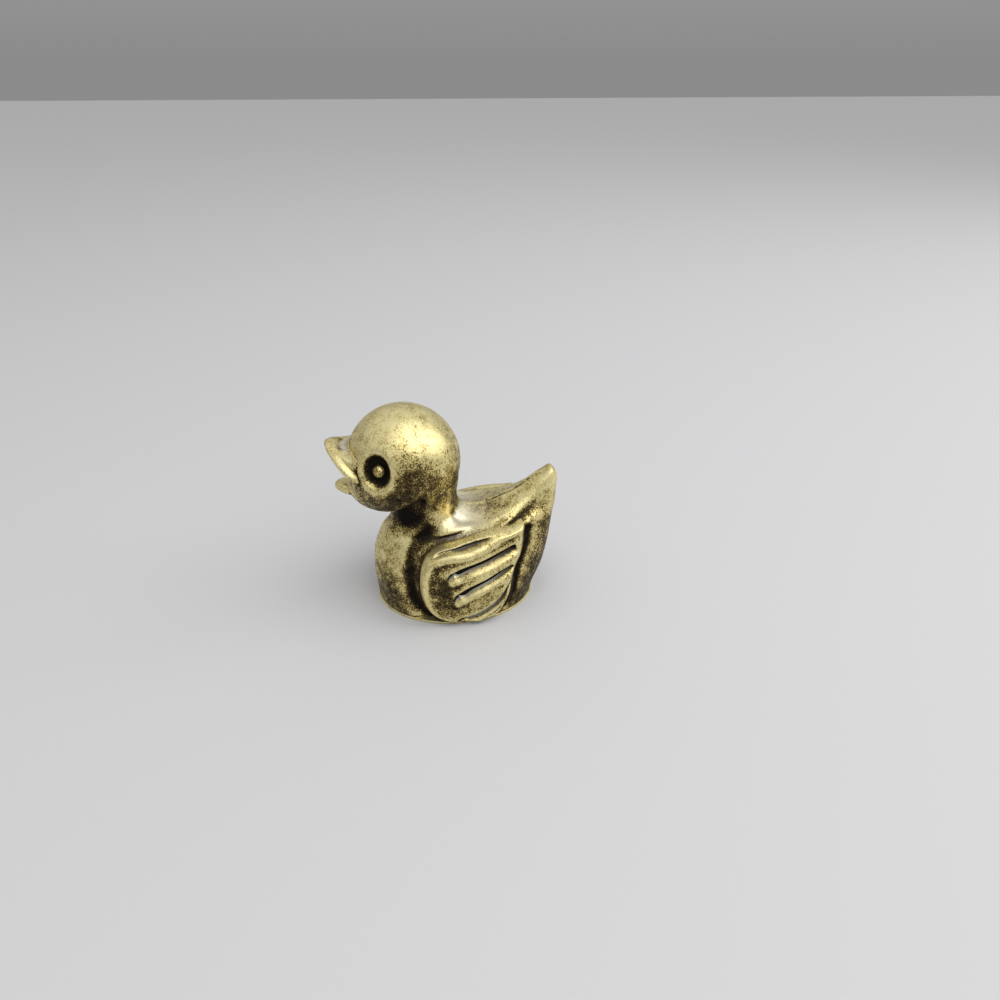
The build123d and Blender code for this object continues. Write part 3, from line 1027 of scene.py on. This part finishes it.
def antique_brass():
    """Cast brass: dark brown finish in the hollows, worn bright on what stands out, with a grain;
    the tone also carries painted light and shade, and painted highlights mix it toward whitish brass.
    """
    material = bpy.data.materials.new("antique_brass")
    material.use_nodes = True
    tree = material.node_tree
    shader = tree.nodes["Principled BSDF"]
    place = add_node(tree, "TexCoord").outputs["Object"]
    tone = add_node(tree, "Attribute", attribute_name="worn_tone_and_painted_light").outputs["Fac"]
    found = []
    for size, detail, weight in noises:
        settings = {"Vector": place, "Scale": 1 / (size * MM), "Detail": detail}
        noise = add_node(tree, "TexNoise", settings).outputs["Fac"]
        shift = maths(tree, "MULTIPLY", maths(tree, "SUBTRACT", noise, 0.5), weight)
        tone = maths(tree, "ADD", tone, shift)
        found.append(noise)
    # Painted highlights: the colour is mixed toward whitish brass
    painted_highlight = add_node(tree, "Attribute", attribute_name="painted_highlight").outputs["Fac"]
    share = maths(tree, "MULTIPLY", painted_highlight, painted_highlight_share)
    paler = add_node(tree, "Mix", {"Factor": share}, data_type="RGBA")
    # Sockets 6 and 7 are the two colours that the node mixes, and its output 2 is the result
    tree.links.new(ramp(tree, tone, brass_colours), paler.inputs[6])
    paler.inputs[7].default_value = painted_highlight_colour
    tree.links.new(paler.outputs[2], shader.inputs["Base Color"])
    for socket, dark, bare in shine:
        stops = list(zip(shine_tones, (dark, bare)))
        tree.links.new(ramp(tree, tone, stops), shader.inputs[socket])
    grain = found[0]
    bumps = {"Height": grain, "Strength": grain_strength, "Distance": grain_height * MM}
    tree.links.new(add_node(tree, "Bump", bumps).outputs["Normal"], shader.inputs["Normal"])
    return material


def oval_tree():
    """Geometry Nodes for an oval form: a ball drawn out to blunt edges, sized, turned and placed."""
    tree = bpy.data.node_groups.new("blunt_oval", "GeometryNodeTree")
    for name, kind in (
        ("Half Sizes", "Vector"),
        ("Bluntness", "Float"),
        ("Turn", "Vector"),
        ("Place", "Vector"),
        ("Finish", "Material"),
    ):
        tree.interface.new_socket(name, in_out="INPUT", socket_type="NodeSocket" + kind)
    tree.interface.new_socket("Geometry", in_out="OUTPUT", socket_type="NodeSocketGeometry")
    given = tree.nodes.new("NodeGroupInput").outputs
    fineness = {"Segments": oval_turns, "Rings": oval_rings, "Radius": 1.0}
    form = add_node(tree, "MeshUVSphere", fineness).outputs["Mesh"]
    position = add_node(tree, "InputPosition").outputs["Position"]
    x, y, z = add_node(tree, "SeparateXYZ", {"Vector": position}).outputs
    power = maths(tree, "DIVIDE", 2.0, given["Bluntness"])
    squares = maths(tree, "ADD", maths(tree, "MULTIPLY", x, x), maths(tree, "MULTIPLY", y, y))
    flat = maths(tree, "MAXIMUM", maths(tree, "SQRT", squares), least_flat)
    widening = maths(tree, "POWER", flat, maths(tree, "SUBTRACT", power, 1.0))
    tall = maths(tree, "POWER", maths(tree, "ABSOLUTE", z), power)
    drawn = {
        "X": maths(tree, "MULTIPLY", x, widening),
        "Y": maths(tree, "MULTIPLY", y, widening),
        "Z": maths(tree, "MULTIPLY", maths(tree, "SIGN", z), tall),
    }
    drawn = add_node(tree, "CombineXYZ", drawn).outputs[0]
    sizes = {0: drawn, 1: given["Half Sizes"]}
    sized = add_node(tree, "VectorMath", sizes, operation="MULTIPLY").outputs[0]
    for kind, settings in (
        ("SetPosition", {"Position": sized}),
        ("Transform", {"Translation": given["Place"], "Rotation": given["Turn"]}),
        ("RealizeInstances", {}),
        ("SetMaterial", {"Material": given["Finish"]}),
    ):
        form = add_node(tree, kind, {"Geometry": form, **settings}).outputs[0]
    tree.links.new(form, tree.nodes.new("NodeGroupOutput").inputs["Geometry"])
    return tree


def build_oval(name, tree, middle, axes, half_sizes, bluntness):
    """Plain mesh object of one oval form."""
    piece = bpy.data.objects.new(name, bpy.data.meshes.new(name))
    bpy.context.scene.collection.objects.link(piece)
    maker = piece.modifiers.new("oval", "NODES")
    maker.node_group = tree
    values = {
        "Half Sizes": [size * MM for size in half_sizes],
        "Bluntness": bluntness,
        "Turn": list(Matrix(axes).transposed().to_euler()),
        "Place": [place * MM for place in middle],
        "Finish": brass,
    }
    for item in tree.interface.items_tree:
        if item.name in values:
            maker[item.identifier] = values[item.name]
    made = piece.evaluated_get(bpy.context.evaluated_depsgraph_get())
    mesh = bpy.data.meshes.new_from_object(made)
    piece.modifiers.remove(maker)
    piece.data = mesh
    mesh.shade_smooth()
    return piece


brass = antique_brass()
for piece in pieces.values():
    piece.data.materials.append(brass)
tree = oval_tree()
for name, form in ovals.items():
    pieces[name] = build_oval("brass_" + name, tree, *form)
    corners = pieces[name].data.vertices
    points = np.array([corner.co[:] for corner in corners]) / MM
    skins[name] = (points, np.array([corner.normal[:] for corner in corners]))
set_worn_tone_and_painted_light()
for name, piece in pieces.items():
    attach(piece, "root")
    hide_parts(name)

# Floor
square = ((-1, -1), (1, -1), (1, 1), (-1, 1))
floor_corners = [(a * floor_reach, b * floor_reach, 0) for a, b in square]
floor_mesh = bpy.data.meshes.new("floor")
floor_mesh.from_pydata(floor_corners, [], [(0, 1, 2, 3)])
floor = bpy.data.objects.new("floor", floor_mesh)
bpy.context.scene.collection.objects.link(floor)
paper = bpy.data.materials.new("pale_paper")
paper.use_nodes = True
paper.node_tree.nodes["Principled BSDF"].inputs["Base Color"].default_value = floor_colour
paper.node_tree.nodes["Principled BSDF"].inputs["Roughness"].default_value = floor_roughness
floor_mesh.materials.append(paper)

# Light
world = bpy.data.worlds.new("studio")
world.use_nodes = True
direction = add_node(world.node_tree, "TexCoord").outputs["Generated"]
height = add_node(world.node_tree, "SeparateXYZ", {"Vector": direction}).outputs["Z"]
sky = ramp(world.node_tree, height, sky_greys)
world.node_tree.links.new(sky, world.node_tree.nodes["Background"].inputs["Color"])
bpy.context.scene.world = world
for name, place, size, power in lamps:
    lamp_data = bpy.data.lights.new(name, "AREA")
    lamp_data.size = size
    lamp_data.energy = power
    lamp = bpy.data.objects.new(name, lamp_data)
    lamp.location = place
    lamp.rotation_euler = Vector(place).to_track_quat("Z", "Y").to_euler()
    bpy.context.scene.collection.objects.link(lamp)

# Camera
ahead = Vector((-cos(camera_turn), sin(camera_turn), 0))
right = Vector((sin(camera_turn), cos(camera_turn), 0))
forward = ahead * cos(camera_drop) - Vector((0, 0, sin(camera_drop)))
up = ahead * sin(camera_drop) + Vector((0, 0, cos(camera_drop)))
camera_data = bpy.data.cameras.new("camera")
camera_data.sensor_width = camera_sensor
camera_data.lens = camera_lens
camera_data.clip_start = camera_nearest
camera = bpy.data.objects.new("camera", camera_data)
camera_axes = Matrix((right, up, -forward)).transposed().to_4x4()
camera.matrix_world = Matrix.Translation(camera_place) @ camera_axes
bpy.context.scene.collection.objects.link(camera)
bpy.context.scene.camera = camera
bpy.context.scene.view_settings.view_transform = "Standard"
